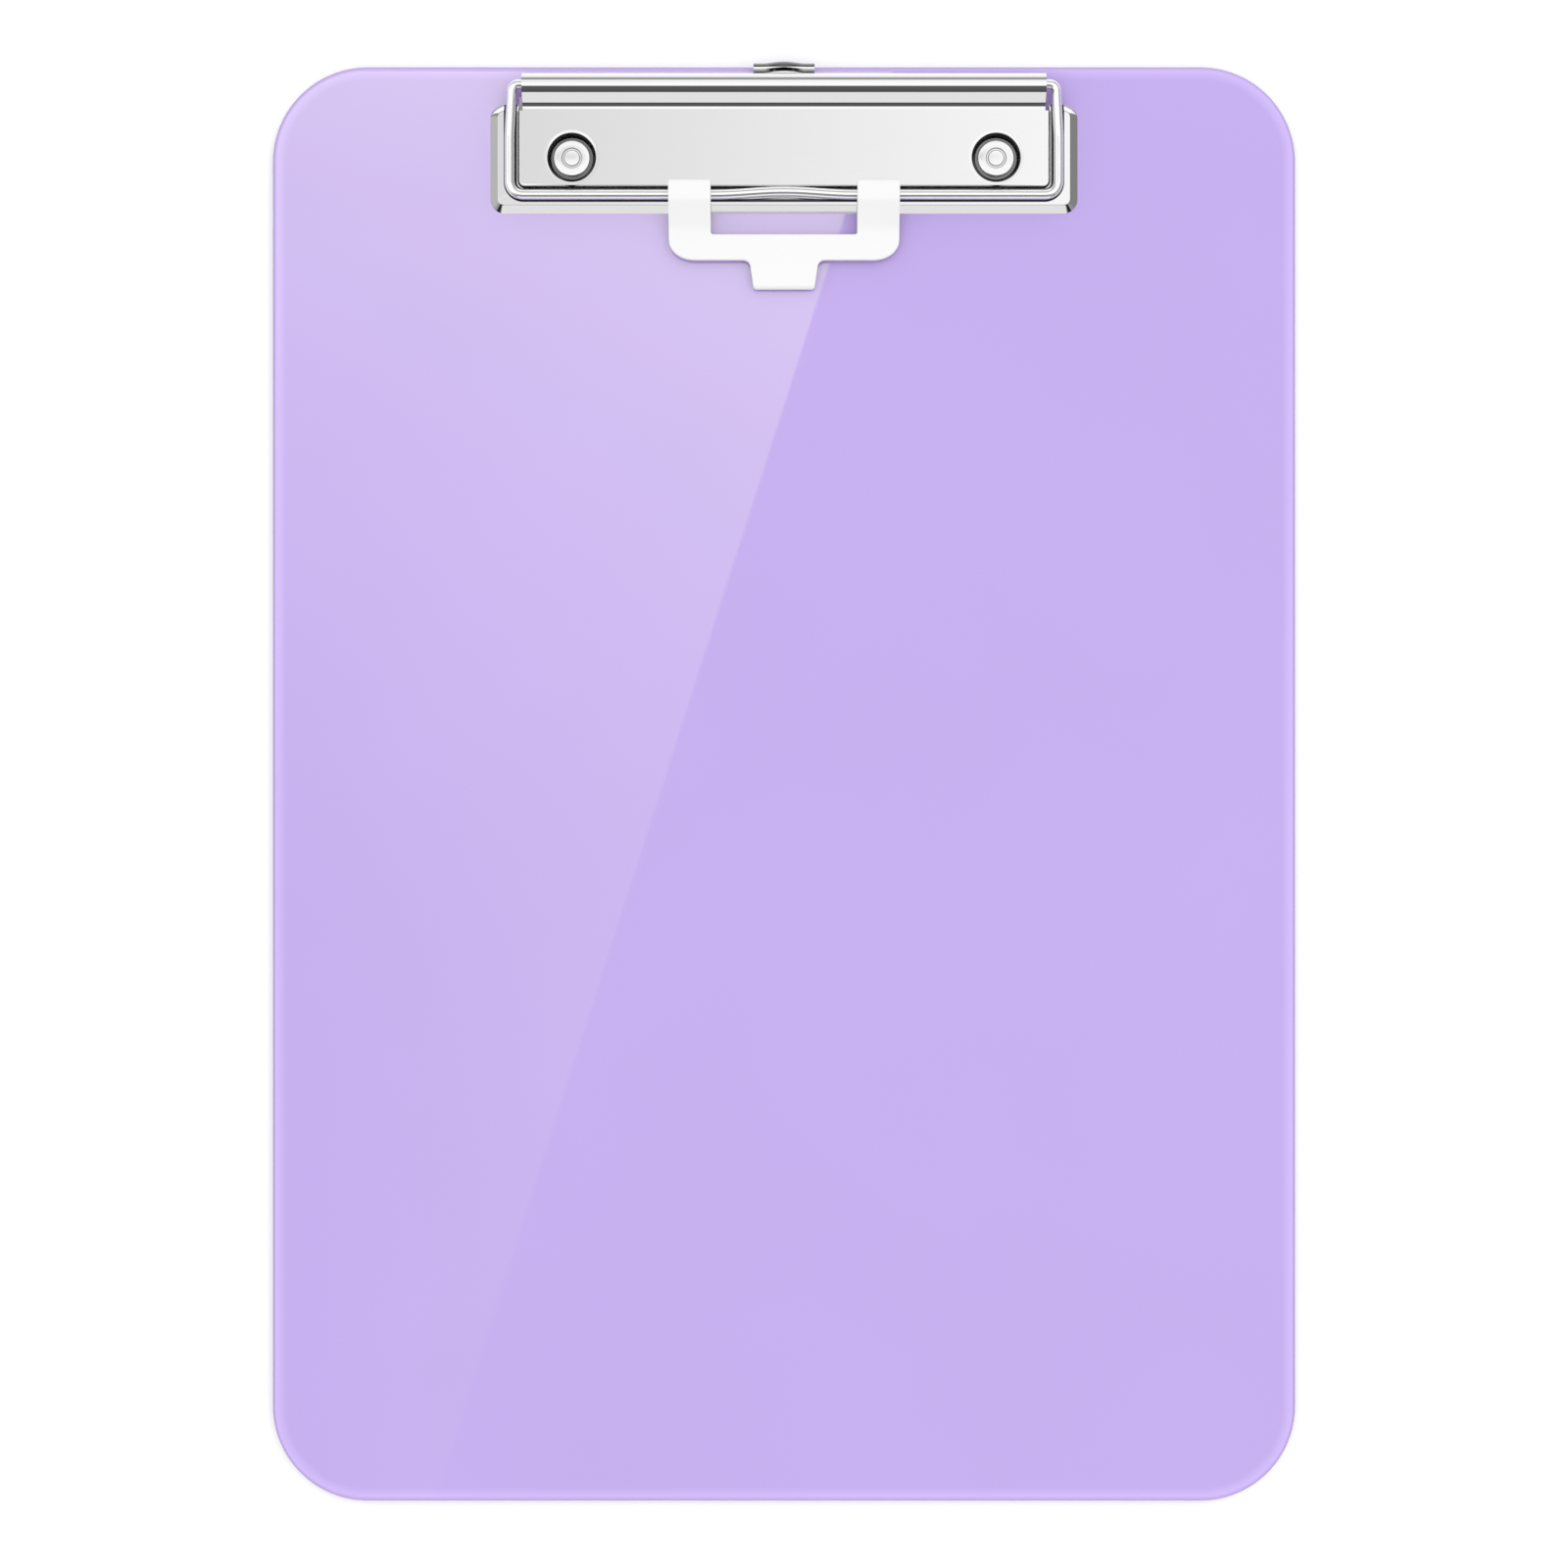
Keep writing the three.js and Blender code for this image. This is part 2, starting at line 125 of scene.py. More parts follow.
TAB_HALF = TAB_HIGH.x
TAB_REAR = TAB_HIGH.y
TAB_TIP = TAB_LOW.y
TAB_ARM = TAB_HALF - 9.43        # inner side of each arm
TAB_WINDOW = TAB_REAR - 11.7     # front edge of the opening between the arms
TAB_BAR = TAB_TIP + 6.5          # front edge of the cross bar
TAB_STEM = (7.5, 6.9)            # half widths of the stem at its root and at its tip
TAB_FILLET = 1.6
TAB_TIP_CORNER = 0.8
TAB_CORNER = (5.7, 4.4)          # half axes of the bar's round outer corners
TAB_TOP = TAB_HIGH.z
TAB_UNDER = TAB_LOW.z
HOOK_GAP = 0.3                   # between the hook and the wire
HOOK_JAW = 1.9                   # the hook's rear foot, above the wire's centre line
HOOK_END = 25.0                  # where the hook's bore stops at the rear, in degrees

TONGUE_THICK = 0.5
TONGUE_HALF = 6.8
TONGUE_HOLE = 3.6
TONGUE_HOLE_Y = TONGUE_LOW.y + 18.0
SHOULDER = 3.0                   # length of the wide shoulders at the tongue's front end
SHOULDER_CORNER = 1.2
TRAVEL = JOINTS["hanger_slide"]["range_m"][1] / MM
CURL_R = 1.2
CURL_END = 100.0                 # where the rolled lip stops, in degrees
LIP_ARCH = 0.45                  # how much fuller the lip is in the middle
LIP_ARCH_HALF = 5.0
LUG = (1.2, 0.8)                 # width and length of the guide lugs
LUG_GAP = 0.3                    # left between a lug and the tongue


# ------------------------------------------------------------------ mesh tools

def arc(x, y, radius, start, end, steps):
    """Points on an arc from start to end, in degrees, with both ends in."""
    angles = [math.radians(start + (end - start) * i / steps) for i in range(steps + 1)]
    return [(x + radius * math.cos(a), y + radius * math.sin(a)) for a in angles]


def circle(x, y, radius, steps):
    return arc(x, y, radius, 0, 360, steps)[:-1]


def rounded(points, radii, steps):
    """A line through points, with each inner corner rounded to its radius."""
    points = [Vector(p) for p in points]
    line = [points[0]]
    for before, corner, after, radius in zip(points, points[1:], points[2:], radii):
        into = (corner - before).normalized()
        out = (after - corner).normalized()
        angle = into.angle(out)
        start = corner - into * radius * math.tan(angle / 2)
        inward = (out - into * into.dot(out)).normalized()
        for i in range(steps + 1):
            a = angle * i / steps
            line.append(start + into * radius * math.sin(a) + inward * radius * (1 - math.cos(a)))
    line.append(points[-1])
    return line


class Shell:
    """Points and faces in millimetres, joined into one mesh at the end."""

    def __init__(self):
        self.points = []
        self.faces = []

    def add(self, points, faces):
        start = len(self.points)
        self.points.extend(Vector(p) for p in points)
        self.faces.extend([start + i for i in face] for face in faces)

    def loft(self, rings, closed=False):
        """Faces between rings that have equally many points."""
        count = len(rings[0])
        spans = count if closed else count - 1
        faces = []
        for r in range(len(rings) - 1):
            for i in range(spans):
                j = (i + 1) % count
                near, far = r * count, (r + 1) * count
                faces.append([near + i, near + j, far + j, far + i])
        self.add([p for ring in rings for p in ring], faces)

    def flat(self, loops, z):
        """A level face at height z inside the first loop, with the other loops cut out."""
        rings = [[Vector((p[0], p[1], z)) for p in loop] for loop in loops]
        self.add([p for ring in rings for p in ring], tessellate_polygon(rings))

    def turn(self, profile, x, y, segments):
        """A profile of (radius, height) points turned about the upright axis at (x, y)."""
        rings = []
        for radius, z in profile:
            if radius < 1e-6:
                rings.append([(x, y, z)] * segments)
            else:
                rings.append([(a, b, z) for a, b in circle(x, y, radius, segments)])
        self.loft(rings, closed=True)

    def build(self, name, faces_up=False):
        """The mesh as an object. Its normals point outwards, or up where it is an open surface."""
        mesh = bpy.data.meshes.new(name)
        bm = bmesh.new()
        verts = [bm.verts.new(p * MM) for p in self.points]
        for face in self.faces:
            corners = list(dict.fromkeys(face))
            if len(corners) > 2:
                bm.faces.new([verts[i] for i in corners])
        bmesh.ops.remove_doubles(bm, verts=bm.verts, dist=1e-6)
        bmesh.ops.dissolve_degenerate(bm, edges=bm.edges, dist=1e-7)
        bmesh.ops.recalc_face_normals(bm, faces=bm.faces)
        largest = max(bm.faces, key=lambda f: f.calc_area() * abs(f.normal.z))
        if faces_up and largest.normal.z < 0:
            bmesh.ops.reverse_faces(bm, faces=bm.faces)
        bm.to_mesh(mesh)
        bm.free()
        piece = bpy.data.objects.new(name, mesh)
        bpy.context.collection.objects.link(piece)
        return piece


def freeze(piece):
    """Turns a piece's modifiers into plain mesh."""
    graph = bpy.context.evaluated_depsgraph_get()
    made = bpy.data.meshes.new_from_object(piece.evaluated_get(graph), depsgraph=graph)
    piece.modifiers.clear()
    piece.data = made


def smooth(piece, sharp_angle=35.0):
    """Smooth shading that breaks at sharp edges and keeps flat faces flat."""
    piece.data.shade_smooth()
    piece.data.set_sharp_from_angle(angle=math.radians(sharp_angle))
    weighted = piece.modifiers.new("flat_faces", "WEIGHTED_NORMAL")
    weighted.keep_sharp = True
    weighted.weight = 100


def thicken(piece, thickness):
    """Gives an open surface the thickness of its sheet, on the far side from its normals."""
    solid = piece.modifiers.new("sheet", "SOLIDIFY")
    solid.thickness = thickness * MM
    solid.offset = -1
    solid.use_even_offset = True
    freeze(piece)


def place(piece, body, slot, material, *nodes):
    """Rides a piece on its body in place of its CAD nodes, with its finish."""
    piece.data.materials.clear()
    piece.data.materials.append(material)
    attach(piece, body)
    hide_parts(*nodes)


# ------------------------------------------------------------------ material tools

class Nodes:
    """Short calls for building a material's or the world's nodes."""

    def __init__(self, tree):
        self.tree = tree
        self.tree.nodes.clear()

    def new(self, kind, **inputs):
        """A node of a kind, with its inputs set by name."""
        node = self.tree.nodes.new(kind)
        for name, value in inputs.items():
            self.set(node.inputs[name.replace("_", " ")], value)
        return node

    def set(self, socket, value):
        """Links a socket to another one, or gives it a plain value."""
        if isinstance(value, bpy.types.NodeSocket):
            self.tree.links.new(value, socket)
        else:
            socket.default_value = value

    def math(self, operation, a, b=0.0, c=0.0):
        node = self.tree.nodes.new("ShaderNodeMath")
        node.operation = operation
        for socket, value in zip(node.inputs, (a, b, c)):
            self.set(socket, value)
        return node.outputs[0]

    def ramp(self, factor, stops):
        """A colour for each factor, from (position, colour) stops."""
        node = self.tree.nodes.new("ShaderNodeValToRGB")
        elements = node.color_ramp.elements
        while len(elements) < len(stops):
            elements.new(1.0)
        for element, (position, color) in zip(elements, stops):
            element.position = position
            element.color = color if len(color) == 4 else (*color, 1.0)
        self.set(node.inputs["Fac"], factor)
        return node.outputs["Color"]

    def spread(self, value, low, high, to_low=0.0, to_high=1.0):
        """The value carried from one range to another, and held at its ends."""
        node = self.tree.nodes.new("ShaderNodeMapRange")
        for socket, number in zip(node.inputs, (value, low, high, to_low, to_high)):
            self.set(socket, number)
        return node.outputs[0]

    def mix(self, factor, a, b):
        node = self.tree.nodes.new("ShaderNodeMix")
        node.data_type = "RGBA"
        self.set(node.inputs[0], factor)
        self.set(node.inputs[6], a)
        self.set(node.inputs[7], b)
        return node.outputs[2]

    def noise(self, coordinates, scale, detail):
        node = self.new("ShaderNodeTexNoise", Scale=scale, Detail=detail, Roughness=0.5)
        self.set(node.inputs["Vector"], coordinates)
        return node.outputs["Fac"]

    def stretch(self, coordinates, x, y, z):
        node = self.tree.nodes.new("ShaderNodeVectorMath")
        node.operation = "MULTIPLY"
        self.set(node.inputs[0], coordinates)
        node.inputs[1].default_value = (x, y, z)
        return node.outputs[0]

    def scale(self, vector, factor):
        node = self.tree.nodes.new("ShaderNodeVectorMath")
        node.operation = "SCALE"
        self.set(node.inputs[0], vector)
        self.set(node.inputs["Scale"], factor)
        return node.outputs[0]

    def bump(self, height, strength, distance, normal=None):
        node = self.new("ShaderNodeBump", Height=height, Strength=strength, Distance=distance)
        if normal is not None:
            self.set(node.inputs["Normal"], normal)
        return node.outputs["Normal"]


def new_material(name):
    material = bpy.data.materials.new(name)
    material.use_nodes = True
    return material, Nodes(material.node_tree)


def surface(nodes, **inputs):
    """Ends a material in one shader, with its inputs set by name."""
    shader = nodes.new("ShaderNodeBsdfPrincipled", **inputs)
    nodes.new("ShaderNodeOutputMaterial", Surface=shader.outputs[0])


def grey(value):
    return (value, value, value, 1.0)


# ------------------------------------------------------------------ materials

def past_corner(nodes, over):
    """Distance past a rounded corner's centre, from the distances past it along two axes."""
    outside = [nodes.math("MAXIMUM", value, 0.0) for value in over]
    squares = nodes.math("MULTIPLY", outside[0], outside[0])
    length = nodes.math("SQRT", nodes.math("MULTIPLY_ADD", outside[1], outside[1], squares))
    inside = nodes.math("MINIMUM", nodes.math("MAXIMUM", over[0], over[1]), 0.0)
    return nodes.math("ADD", length, inside)


def edge_distance(nodes, at):
    """Distance in metres from the board's rounded outline, growing towards its middle."""
    split = nodes.new("ShaderNodeSeparateXYZ", Vector=at)
    corner = BOARD_CORNER * MM
    over = []
    for axis in (0, 1):
        size = nodes.math("ABSOLUTE", split.outputs[axis])
        over.append(nodes.math("SUBTRACT", size, BOARD_HIGH[axis] * MM - corner))
    return nodes.math("SUBTRACT", corner, past_corner(nodes, over))


def rivet_distance(nodes, at):
    """Distance in metres from the axis of the nearer rivet."""
    split = nodes.new("ShaderNodeSeparateXYZ", Vector=at)
    x = nodes.math("SUBTRACT", nodes.math("ABSOLUTE", split.outputs[0]), RIVET.x * MM)
    y = nodes.math("SUBTRACT", split.outputs[1], RIVET.y * MM)
    return nodes.math("SQRT", nodes.math("MULTIPLY_ADD", x, x, nodes.math("MULTIPLY", y, y)))


def band_mask(nodes, value, low, high, soft):
    """1 between low and high, 0 elsewhere."""
    rise = nodes.spread(value, low - soft, low)
    fall = nodes.spread(value, high, high + soft, 1.0, 0.0)
    return nodes.math("MULTIPLY", rise, fall)


def painted_groove_shade_mask(nodes, at):
    """1 in the ring between each rivet's head and the wall of its dimple, where shade is painted into the
    plate, 0 elsewhere.
    """
    return band_mask(nodes, rivet_distance(nodes, at), RIVET_HEAD * MM, DIMPLE_TOP * MM, 0.1 * MM)


def painted_ring_shade_mask(nodes, at):
    """1 on the walls of the ring groove in each rivet's head, where shade is painted, 0 elsewhere."""
    radius = rivet_distance(nodes, at)
    lines = [band_mask(nodes, radius, (r - 0.06) * MM, (r + 0.06) * MM, 0.05 * MM) for r in RIVET_RING]
    return nodes.math("ADD", *lines)


def painted_wire_shade_mask(nodes, at):
    """1 on the ledge where it meets the closed wire and in the narrow gap to the panel, where a dark
    contact shade is painted, 0 elsewhere.
    """
    split = nodes.new("ShaderNodeSeparateXYZ", Vector=at)
    corner = WIRE_CORNER * MM
    ahead = nodes.math("SUBTRACT", (WIRE_FRONT + WIRE_CORNER) * MM, split.outputs[1])
    beside = nodes.math("SUBTRACT", nodes.math("ABSOLUTE", split.outputs[0]), WIRE_SIDE * MM - corner)
    from_wire = nodes.math("SUBTRACT", past_corner(nodes, (ahead, beside)), corner)
    outer = band_mask(nodes, from_wire, (WIRE_R - 0.3) * MM, (WIRE_R + 0.25) * MM, 0.1 * MM)
    inner = band_mask(nodes, from_wire, -(WIRE_R + 0.4) * MM, -(WIRE_R - 0.3) * MM, 0.1 * MM)
    below = nodes.spread(split.outputs[2], (PANEL_TOP - 0.2) * MM, (PANEL_TOP - 0.1) * MM, 1.0, 0.0)
    # The painted shade stays on the ledge when the bail is opened.
    return nodes.math("MULTIPLY", nodes.math("ADD", outer, inner), below)


def painted_lip_shadow_mask(nodes, at):
    """1 on a painted shadow line along the hanging tab's lip, less on the painted shade behind it, 0
    elsewhere.
    """
    split = nodes.new("ShaderNodeSeparateXYZ", Vector=at)
    rear = (TONGUE_HIGH.y - LIP_ARCH) * MM
    seam = band_mask(nodes, split.outputs[1], rear - 0.95 * MM, rear - 0.65 * MM, 0.06 * MM)
    # Painted shade on the lip's rear, at 0.72 strength.
    behind = nodes.spread(split.outputs[1], rear - 0.65 * MM, rear - 0.55 * MM, 0.0, 0.72)
    return nodes.math("MAXIMUM", seam, behind)


def lavender_plastic():
    """Glossy moulded plastic with a painted highlight a little in from its edge and painted shade on its
    outermost rounding, with a fine ripple in its skin.
    """
    material, nodes = new_material("lavender_plastic")
    at = nodes.new("ShaderNodeTexCoord").outputs["Object"]
    distance = edge_distance(nodes, at)
    # Painted light: glow is a painted highlight about a millimetre in from the edge, dark is painted shade
    # on the edge's outermost rounding.
    plain = (0.425, 0.318, 0.660)
    glow = (0.500, 0.385, 0.750)
    dark = (0.34, 0.26, 0.47)
    edge = nodes.ramp(nodes.spread(distance, 0.0, 0.004),
                      [(0.0, dark), (0.09, dark), (0.2, glow), (0.3, glow), (0.8, plain), (1.0, plain)])
    cloud = nodes.spread(nodes.noise(at, 14.0, 3.0), 0.3, 0.7, 0.985, 1.015)
    tint_with_painted_edge_light = nodes.scale(edge, cloud)
    skin = nodes.noise(at, 900.0, 2.0)
    ripple = nodes.noise(at, 60.0, 1.0)
    normal = nodes.bump(skin, 0.01, 0.00002)
    normal = nodes.bump(ripple, 0.01, 0.0002, normal)
    polish = nodes.spread(nodes.noise(at, 220.0, 4.0), 0.3, 0.7, 0.012, 0.022)
    surface(nodes, Base_Color=tint_with_painted_edge_light, Roughness=polish, IOR=1.5, Normal=normal)
    return material


def plated_sheet(name, painted_shades):
    """Polished nickel plate on rolled steel: faint grain and a few hairline scratches.

    The last argument lists the masks where shade is painted into the plating's colour, as (mask, tone).
    """
    material, nodes = new_material(name)
    at = nodes.new("ShaderNodeTexCoord").outputs["Object"]
    grain = nodes.noise(nodes.stretch(at, 60.0, 1800.0, 900.0), 1.0, 3.0)
    scratch = nodes.noise(nodes.stretch(at, 2200.0, 90.0, 900.0), 1.0, 2.0)
    hairline = nodes.spread(scratch, 0.72, 0.76)
    color = nodes.mix(nodes.spread(grain, 0.35, 0.65), grey(0.875), grey(0.88))
    # Painted shade: each mask darkens the colour towards its tone.
    for mask, tone in painted_shades:
        color = nodes.mix(mask(nodes, at), color, grey(tone))
    rough = nodes.spread(grain, 0.3, 0.7, 0.042, 0.05)
    rough = nodes.math("MULTIPLY_ADD", hairline, 0.06, rough)
    normal = nodes.bump(nodes.noise(at, 90.0, 1.0), 0.02, 0.0002)
    surface(nodes, Base_Color=color, Metallic=1.0, Roughness=rough, Normal=normal)
    return material


def chrome_wire():
    """Bright drawn wire: nearly a mirror, very slightly clouded."""
    material, nodes = new_material("chrome_wire")
    at = nodes.new("ShaderNodeTexCoord").outputs["Object"]
    cloud = nodes.noise(at, 300.0, 3.0)
    rough = nodes.spread(cloud, 0.3, 0.7, 0.03, 0.08)
    color = nodes.mix(cloud, grey(0.88), grey(0.93))
    normal = nodes.bump(nodes.noise(at, 1500.0, 2.0), 0.02, 0.00002)
    surface(nodes, Base_Color=color, Metallic=0.8, Roughness=rough, Normal=normal)
    return material


def rivet_metal():
    """Satin nickel plate on the rivets, with painted shade on the walls of the ring groove."""
    material, nodes = new_material("rivet_nickel")
    at = nodes.new("ShaderNodeTexCoord").outputs["Object"]
    cloud = nodes.noise(at, 500.0, 3.0)
    color = nodes.mix(cloud, grey(0.83), grey(0.89))
    color = nodes.mix(painted_ring_shade_mask(nodes, at), color, grey(0.25))
    rough = nodes.spread(cloud, 0.3, 0.7, 0.10, 0.18)
    normal = nodes.bump(nodes.noise(at, 2500.0, 2.0), 0.03, 0.00002)
    surface(nodes, Base_Color=color, Metallic=1.0, Roughness=rough, Normal=normal)
    return material


def white_plastic():
    """Satin moulded plastic, bright white, with a fine moulded skin."""
    material, nodes = new_material("white_plastic")
    at = nodes.new("ShaderNodeTexCoord").outputs["Object"]
    cloud = nodes.noise(at, 90.0, 3.0)
    color = nodes.mix(cloud, grey(0.73), grey(0.75))
    rough = nodes.spread(nodes.noise(at, 1200.0, 3.0), 0.3, 0.7, 0.28, 0.38)
    normal = nodes.bump(nodes.noise(at, 2600.0, 2.0), 0.06, 0.00003)
    surface(nodes, Base_Color=color, Roughness=rough, IOR=1.46, Normal=normal)
    return material


# ------------------------------------------------------------------ the board

def board_outline(inset):
    """The board's rounded rectangle, drawn in from its edge."""
    half_x, half_y = BOARD_HIGH.x - inset, BOARD_HIGH.y - inset
    radius = BOARD_CORNER - inset
    x, y = half_x - radius, half_y - radius
    outline = []
    for sx, sy, start in ((1, 1, 0), (-1, 1, 90), (-1, -1, 180), (1, -1, 270)):
        outline += arc(sx * x, sy * y, radius, start, start + 90, 32)
    return outline


def board_piece():
    """A slab with rounded edges, a hole for each rivet and a counterbore round it at the back."""
    shell = Shell()
    steps = 8
    rings = []
    for centre_z, first in ((BOARD_EDGE, -90), (BOARD_TOP - BOARD_EDGE, 0)):
        for i in range(steps + 1):
            a = math.radians(first + 90 * i / steps)
            z = centre_z + BOARD_EDGE * math.sin(a)
            inset = BOARD_EDGE * (1 - math.cos(a))
            rings.append([(x, y, z) for x, y in board_outline(inset)])
    shell.loft(rings, closed=True)
    segments = 48
    mouth = COUNTERBORE_R + COUNTERBORE_RIM
    centres = [(side * RIVET.x, RIVET.y) for side in (-1, 1)]
    holes = [circle(x, y, RIVET_HOLE, segments) for x, y in centres]
    mouths = [circle(x, y, mouth, segments) for x, y in centres]
    shell.flat([board_outline(BOARD_EDGE), *holes], BOARD_TOP)
    shell.flat([board_outline(BOARD_EDGE), *mouths], 0.0)
    for x, y in centres:
        profile = [(mouth, 0.0), (COUNTERBORE_R, COUNTERBORE_RIM), (COUNTERBORE_R, COUNTERBORE_DEPTH),
                   (RIVET_HOLE, COUNTERBORE_DEPTH), (RIVET_HOLE, BOARD_TOP)]
        shell.turn(profile, x, y, segments)
    piece = shell.build("lavender_board")
    smooth(piece, 50.0)
    return piece


# ------------------------------------------------------------------ the base plate

def plate_ring(inset, z):
    """The rim's outline from one rear wing round the front to the other."""
    half, front, rear = PLATE_HALF - inset, PLATE_FRONT + inset * RIM_FRONT_SHARE, PLATE_REAR - inset
    r = PLATE_CORNER - inset
    ring = [(-NOTCH_END, rear)]
    ring += arc(-half + r, rear - r, r, 90, 180, 14)
    ring += arc(-half + r, front + r, r, 180, 270, 14)
    ring += arc(half - r, front + r, r, 270, 360, 14)
    ring += arc(half - r, rear - r, r, 0, 90, 14)
    ring.append((NOTCH_END, rear))
    return [(x, y, z) for x, y in ring]


def panel_ring(inset, z, rear):
    """The raised panel's border, open at the rear where the sheet runs on into the barrel."""
    half, front = PANEL_HALF - inset, PANEL_FRONT + inset
    r = PANEL_CORNER - inset
    ring = [(-half, rear)]
    ring += arc(-half + r, front + r, r, 180, 270, 10)
    ring += arc(half - r, front + r, r, 270, 360, 10)
    ring.append((half, rear))
    return [(x, y, z) for x, y in ring]


def bend_start():
    """How far back the panel runs level before it bends up into the ramp."""
    slope = math.radians(RAMP_SLOPE)
    drop = (BARREL_BROW + RAMP_BEND) * (1 - math.cos(slope))
    rise = HINGE.z + BARREL_R - PANEL_TOP - drop
    return HINGE.y - (BARREL_BROW + RAMP_BEND) * math.sin(slope) - rise / math.tan(slope)


def barrel_line():
    """The sheet's upper face from the panel, up the ramp and round the barrel, as (y, z)."""
    line = arc(bend_start(), PANEL_TOP + RAMP_BEND, RAMP_BEND, -90, RAMP_SLOPE - 90, 16)
    line += arc(HINGE.y, HINGE.z + BARREL_R - BARREL_BROW, BARREL_BROW, 90 + RAMP_SLOPE, 90, 24)
    line += arc(HINGE.y, HINGE.z, BARREL_R, 90, BARREL_END, 56)[1:]
    return line


def rim_profile(foot):
    """The rim from its foot to the ledge, as (inset, height): a slightly convex slope, crisp at the top."""
    steps = 6
    line = [Vector((0, foot, 0))]
    for i in range(1, steps + 1):
        slope = math.radians(RIM_SLOPE[0] + (RIM_SLOPE[1] - RIM_SLOPE[0]) * (i - 0.5) / steps)
        rise = (LEDGE_TOP - foot) / steps
        line.append(line[-1] + Vector((rise / math.tan(slope), rise, 0)))
    edge = line[-1]
    crisp = rounded([line[-2], edge, edge + Vector((1, 0, 0))], [0.2], 4)[1:-1]
    return line[:-1] + crisp


def panel_profile():
    """The step from the ledge up to the panel, as (inset, height), with both its corners rounded."""
    corners = [(-1, LEDGE_TOP, 0), (0, LEDGE_TOP, 0), (PANEL_SLOPE, PANEL_TOP, 0),
               (PANEL_SLOPE + 1, PANEL_TOP, 0)]
    return rounded(corners, [0.3, 0.3], 5)[1:-1]


def dimple_profile(floor):
    """A rivet's dimple from the panel down to its floor, as (radius, height)."""
    corners = [(DIMPLE_TOP + 1, PANEL_TOP, 0), (DIMPLE_TOP, PANEL_TOP, 0), (DIMPLE_FLOOR, floor, 0),
               (RIVET_HOLE, floor, 0)]
    return [(p.x, p.y) for p in rounded(corners, [0.3, 0.25], 7)]


def plate_piece():
    """One pressed sheet: rim, ledge, panel with two dimples, and the ramp that rolls into the barrel."""
    shell = Shell()
    foot = BOARD_TOP + TOUCH
    rim = [plate_ring(p.x, p.y) for p in rim_profile(foot)]
    wing_rear = rim[-1][0][1]
    step = [panel_ring(p.x, p.y, wing_rear) for p in panel_profile()]
    shell.loft(rim)
    shell.loft(step)
    shell.flat([rim[-1] + step[0][::-1]], LEDGE_TOP)
    panel_rear = bend_start()
    rear_edge = [(BARREL_HALF, wing_rear), (BARREL_HALF, panel_rear),
                 (-BARREL_HALF, panel_rear), (-BARREL_HALF, wing_rear)]
    dimple = dimple_profile(foot + SHEET)
    centres = [(side * RIVET.x, RIVET.y) for side in (-1, 1)]
    segments = 72
    holes = [circle(x, y, dimple[0][0], segments) for x, y in centres]
    shell.flat([step[-1] + rear_edge, *holes], PANEL_TOP)
    for x, y in centres:
        shell.turn(dimple, x, y, segments)
    shell.loft([[(-BARREL_HALF, y, z), (BARREL_HALF, y, z)] for y, z in barrel_line()])
    piece = shell.build("pressed_base_plate", faces_up=True)
    thicken(piece, SHEET)
    smooth(piece, 40.0)
    return piece


def lug_piece(name, side):
    """A small lug pressed down from the sheet, where the hanging tab's shoulder stops."""
    near, front = TONGUE_HALF + LUG_GAP, TONGUE_LOW.y + SHOULDER + TRAVEL + LUG_GAP
    far, rear = near + LUG[0], front + LUG[1]
    outline = [(side * x, y) for x, y in ((near, front), (far, front), (far, rear), (near, rear))]
    low, high = BOARD_TOP + 0.5, PANEL_TOP - SHEET + 0.1
    lug = prism(name, outline, lambda a, b, c: (a, b, c), low, high)
    bevel = lug.modifiers.new("edges", "BEVEL")
    bevel.width = 0.15 * MM
    bevel.segments = 3
    freeze(lug)
    smooth(lug, 50.0)
    return lug


# ------------------------------------------------------------------ the wire bail

def wire_path():
    """The wire's centre line, from its end in the right of the barrel round to the left."""
    corners = [(WIRE_END, HINGE.y, HINGE.z), (WIRE_HINGE_SIDE, HINGE.y, HINGE.z),
               (WIRE_SIDE, WIRE_SPLAY_END, WIRE_Z), (WIRE_SIDE, WIRE_FRONT, WIRE_Z),
               (BOW_HALF, WIRE_FRONT, WIRE_Z)]
    right = rounded(corners, [*WIRE_BENDS, WIRE_CORNER], 12)
    left = [Vector((-p.x, p.y, p.z)) for p in reversed(right)]
    bow = []
    steps = 32
    for i in range(1, steps):
        t = i / steps
        y = WIRE_FRONT + BOW_DEPTH * (1 - math.cos(2 * math.pi * t)) / 2
        bow.append(Vector((BOW_HALF * (1 - 2 * t), y, WIRE_Z)))
    return right + bow + left


def sweep(shell, path, radius, sides):
    """A round bar along a path, with domed ends, its section carried along without twisting."""
    steps = [(b - a).normalized() for a, b in zip(path, path[1:])]
    ways = [steps[0], *((a + b).normalized() for a, b in zip(steps, steps[1:])), steps[-1]]
    side = ways[0].orthogonal().normalized()
    bar = []
    for point, way in zip(path, ways):
        side = (side - way * side.dot(way)).normalized()
        bar.append((point, way, side, radius))
    dome = [math.radians(90 * i / DOME_STEPS) for i in range(1, DOME_STEPS + 1)]
    point, way, side, _ = bar[0]
    first = [(point - way * radius * math.sin(a), way, side, radius * math.cos(a)) for a in reversed(dome)]
    point, way, side, _ = bar[-1]
    last = [(point + way * radius * math.sin(a), way, side, radius * math.cos(a)) for a in dome]
    turns = [2 * math.pi * i / sides for i in range(sides)]
    sections = []
    for point, way, side, r in first + bar + last:
        up = way.cross(side)
        sections.append([point + (side * math.cos(a) + up * math.sin(a)) * r for a in turns])
    shell.loft(sections, closed=True)


def wire_piece():
    """The bail: one bent wire that lies in the barrel, turns out at its ends and closes on the ledge."""
    shell = Shell()
    sweep(shell, wire_path(), WIRE_R, 32)
    piece = shell.build("chrome_wire_bail")
    piece.data.shade_smooth()
    return piece


# ------------------------------------------------------------------ the pull tab

